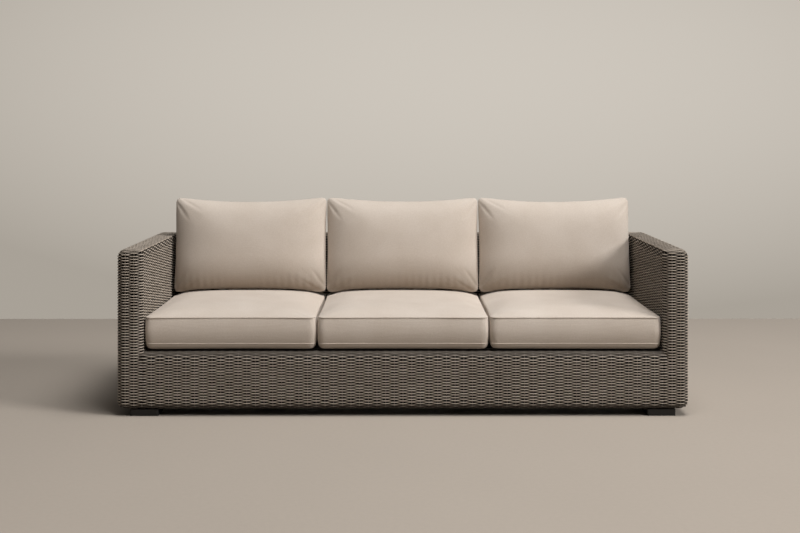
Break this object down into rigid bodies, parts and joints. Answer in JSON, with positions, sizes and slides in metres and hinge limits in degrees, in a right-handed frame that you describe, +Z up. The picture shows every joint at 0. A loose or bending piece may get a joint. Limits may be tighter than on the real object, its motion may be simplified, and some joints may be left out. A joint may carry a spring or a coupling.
{
  "type": "woven garden sofa",
  "caption": "Box-shaped woven garden sofa for three with low arms and back, an apron front, block feet and loose cream seat and back cushions.",
  "frame": {"origin": "on the floor at the middle of the sofa's footprint", "axes": "+X along the sofa to the right as seen from the front, +Y from the front to the back, +Z up; the open front faces -Y"},
  "size_m": [2.25, 0.85, 0.823],
  "materials": {
    "woven_strand": "satin",
    "coated_tube": "satin",
    "coated_slat": "satin",
    "foot_plastic": "satin",
    "zinc_bolt": "satin",
    "cushion_cloth": "matte",
    "seat_foam": "matte",
    "fibre_filling": "matte"
  },
  "bodies": {
    "sofa_frame": {"left_arm_weave": "woven_strand", "right_arm_weave": "woven_strand", "apron_weave": "woven_strand", "back_weave": "woven_strand", "front_bottom_rail": "coated_tube", "rear_bottom_rail": "coated_tube", "front_seat_rail": "coated_tube", "rear_seat_rail": "coated_tube", "back_top_rail_front": "coated_tube", "back_top_rail_rear": "coated_tube", "left_bottom_rail_outer": "coated_tube", "left_bottom_rail_inner": "coated_tube", "left_top_rail_outer": "coated_tube", "left_top_rail_inner": "coated_tube", "left_front_post_outer": "coated_tube", "left_front_post_inner": "coated_tube", "left_rear_post_outer": "coated_tube", "left_rear_post_inner": "coated_tube", "left_deck_bearer_outer": "coated_tube", "left_deck_bearer_inner": "coated_tube", "left_apron_upright": "coated_tube", "left_back_upright": "coated_tube", "right_bottom_rail_outer": "coated_tube", "right_bottom_rail_inner": "coated_tube", "right_top_rail_outer": "coated_tube", "right_top_rail_inner": "coated_tube", "right_front_post_outer": "coated_tube", "right_front_post_inner": "coated_tube", "right_rear_post_outer": "coated_tube", "right_rear_post_inner": "coated_tube", "right_deck_bearer_outer": "coated_tube", "right_deck_bearer_inner": "coated_tube", "right_apron_upright": "coated_tube", "right_back_upright": "coated_tube", "left_seat_slats": "coated_slat", "centre_seat_slats": "coated_slat", "right_seat_slats": "coated_slat", "front_left_foot": "foot_plastic", "rear_left_foot": "foot_plastic", "front_right_foot": "foot_plastic", "rear_right_foot": "foot_plastic", "front_left_foot_bolt": "zinc_bolt", "rear_left_foot_bolt": "zinc_bolt", "front_right_foot_bolt": "zinc_bolt", "rear_right_foot_bolt": "zinc_bolt"},
    "left_seat_cushion": {"left_seat_cushion_cover": "cushion_cloth", "left_seat_cushion_foam": "seat_foam"},
    "left_back_cushion": {"left_back_cushion_cover": "cushion_cloth", "left_back_cushion_filling": "fibre_filling"},
    "centre_seat_cushion": {"centre_seat_cushion_cover": "cushion_cloth", "centre_seat_cushion_foam": "seat_foam"},
    "centre_back_cushion": {"centre_back_cushion_cover": "cushion_cloth", "centre_back_cushion_filling": "fibre_filling"},
    "right_seat_cushion": {"right_seat_cushion_cover": "cushion_cloth", "right_seat_cushion_foam": "seat_foam"},
    "right_back_cushion": {"right_back_cushion_cover": "cushion_cloth", "right_back_cushion_filling": "fibre_filling"}
  },
  "joints": [
    {"name": "left_seat_cushion_lift", "type": "slide", "parent": "sofa_frame", "child": "left_seat_cushion", "axis": [0, 0, 1], "range_m": [0, 0.45]},
    {"name": "left_back_cushion_lift", "type": "slide", "parent": "left_seat_cushion", "child": "left_back_cushion", "axis": [0, 0, 1], "range_m": [0, 0.45]},
    {"name": "centre_seat_cushion_lift", "type": "slide", "parent": "sofa_frame", "child": "centre_seat_cushion", "axis": [0, 0, 1], "range_m": [0, 0.45]},
    {"name": "centre_back_cushion_lift", "type": "slide", "parent": "centre_seat_cushion", "child": "centre_back_cushion", "axis": [0, 0, 1], "range_m": [0, 0.45]},
    {"name": "right_seat_cushion_lift", "type": "slide", "parent": "sofa_frame", "child": "right_seat_cushion", "axis": [0, 0, 1], "range_m": [0, 0.45]},
    {"name": "right_back_cushion_lift", "type": "slide", "parent": "right_seat_cushion", "child": "right_back_cushion", "axis": [0, 0, 1], "range_m": [0, 0.45]}
  ]
}
